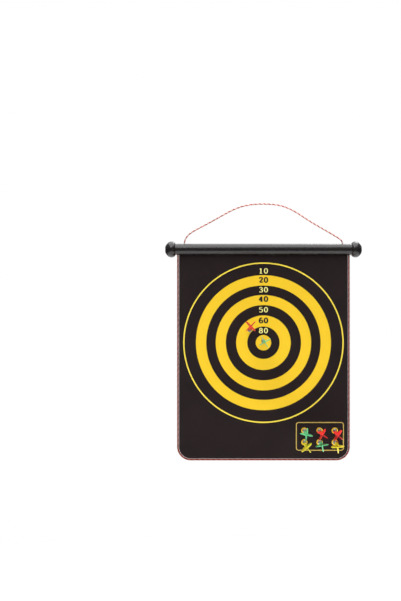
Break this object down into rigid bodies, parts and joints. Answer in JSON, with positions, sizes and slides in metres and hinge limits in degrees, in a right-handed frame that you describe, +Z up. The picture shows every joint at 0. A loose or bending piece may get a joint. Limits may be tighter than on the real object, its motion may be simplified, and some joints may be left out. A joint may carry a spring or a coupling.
{
  "type": "magnetic dartboard",
  "caption": "Two-faced magnetic dartboard: a cloth target mat hung from a tube with ball ends on a twisted cord, with magnetic darts parked on it.",
  "frame": {"origin": "underside of the hanging cord's apex, where a hook bears", "axes": "+Z up, -Y out of the ring target's face, +X to the right of someone who looks at that face"},
  "size_m": [0.432, 0.1212, 0.5655],
  "materials": {
    "header_plastic": "semi-gloss brown-black",
    "mat_cloth": "dark felted cloth, printed",
    "ferrous_sheet": "iron-filled flexible sheet",
    "rod_steel": "drawn rod",
    "cord_fibre": "twisted red and white yarn",
    "edge_fibre": "twisted red, orange and white yarn",
    "magnet_nickel": "nickel plated magnet",
    "dart_steel": "bright turned steel",
    "dart_red": "moulded, satin",
    "dart_green": "moulded, satin",
    "dart_yellow": "moulded, satin"
  },
  "bodies": {
    "hanging_loop": {"hanging_cord": "cord_fibre"},
    "header": {"header_tube": "header_plastic", "hem_rod": "rod_steel", "mat_hem": "mat_cloth", "cord_knot_left": "cord_fibre", "cord_knot_right": "cord_fibre"},
    "cap_left": {"cap_left": "header_plastic"},
    "cap_right": {"cap_right": "header_plastic"},
    "mat": {"front_cloth": "mat_cloth", "ferrous_core": "ferrous_sheet", "back_cloth": "mat_cloth", "edge_cord": "edge_fibre"},
    "dart_bull": {"dart_bull_magnet": "magnet_nickel", "dart_bull_cup": "dart_steel", "dart_bull_pin": "dart_steel", "dart_bull_barrel": "dart_green", "dart_bull_flight": "dart_green"},
    "dart_ring": {"dart_ring_magnet": "magnet_nickel", "dart_ring_cup": "dart_steel", "dart_ring_pin": "dart_steel", "dart_ring_barrel": "dart_red", "dart_ring_flight": "dart_red"},
    "dart_park_1": {"dart_park_1_magnet": "magnet_nickel", "dart_park_1_cup": "dart_steel", "dart_park_1_pin": "dart_steel", "dart_park_1_barrel": "dart_green", "dart_park_1_flight": "dart_green"},
    "dart_park_2": {"dart_park_2_magnet": "magnet_nickel", "dart_park_2_cup": "dart_steel", "dart_park_2_pin": "dart_steel", "dart_park_2_barrel": "dart_red", "dart_park_2_flight": "dart_red"},
    "dart_park_3": {"dart_park_3_magnet": "magnet_nickel", "dart_park_3_cup": "dart_steel", "dart_park_3_pin": "dart_steel", "dart_park_3_barrel": "dart_red", "dart_park_3_flight": "dart_red"},
    "dart_park_4": {"dart_park_4_magnet": "magnet_nickel", "dart_park_4_cup": "dart_steel", "dart_park_4_pin": "dart_steel", "dart_park_4_barrel": "dart_yellow", "dart_park_4_flight": "dart_yellow"},
    "dart_park_5": {"dart_park_5_magnet": "magnet_nickel", "dart_park_5_cup": "dart_steel", "dart_park_5_pin": "dart_steel", "dart_park_5_barrel": "dart_green", "dart_park_5_flight": "dart_green"},
    "dart_park_6": {"dart_park_6_magnet": "magnet_nickel", "dart_park_6_cup": "dart_steel", "dart_park_6_pin": "dart_steel", "dart_park_6_barrel": "dart_yellow", "dart_park_6_flight": "dart_yellow"}
  },
  "joints": [
    {"name": "header_tilt", "type": "hinge", "parent": "hanging_loop", "child": "header", "pos_m": [0, 0, -0.086], "axis": [1, 0, 0], "range_deg": [-30, 30]},
    {"name": "mat_fold", "type": "hinge", "parent": "header", "child": "mat", "pos_m": [0, 0, -0.1128], "axis": [1, 0, 0], "range_deg": [-60, 60]},
    {"name": "cap_left_pull", "type": "slide", "parent": "header", "child": "cap_left", "axis": [-1, 0, 0], "range_m": [0, 0.014]},
    {"name": "cap_right_pull", "type": "slide", "parent": "header", "child": "cap_right", "axis": [1, 0, 0], "range_m": [0, 0.014]},
    {"name": "dart_bull_lift", "type": "slide", "parent": "mat", "child": "dart_bull", "axis": [0, -1, 0], "range_m": [0, 0.12]},
    {"name": "dart_ring_lift", "type": "slide", "parent": "mat", "child": "dart_ring", "axis": [0, -1, 0], "range_m": [0, 0.12]},
    {"name": "dart_park_1_lift", "type": "slide", "parent": "mat", "child": "dart_park_1", "axis": [0, -1, 0], "range_m": [0, 0.12]},
    {"name": "dart_park_2_lift", "type": "slide", "parent": "mat", "child": "dart_park_2", "axis": [0, -1, 0], "range_m": [0, 0.12]},
    {"name": "dart_park_3_lift", "type": "slide", "parent": "mat", "child": "dart_park_3", "axis": [0, -1, 0], "range_m": [0, 0.12]},
    {"name": "dart_park_4_lift", "type": "slide", "parent": "mat", "child": "dart_park_4", "axis": [0, -1, 0], "range_m": [0, 0.12]},
    {"name": "dart_park_5_lift", "type": "slide", "parent": "mat", "child": "dart_park_5", "axis": [0, -1, 0], "range_m": [0, 0.12]},
    {"name": "dart_park_6_lift", "type": "slide", "parent": "mat", "child": "dart_park_6", "axis": [0, -1, 0], "range_m": [0, 0.12]}
  ]
}
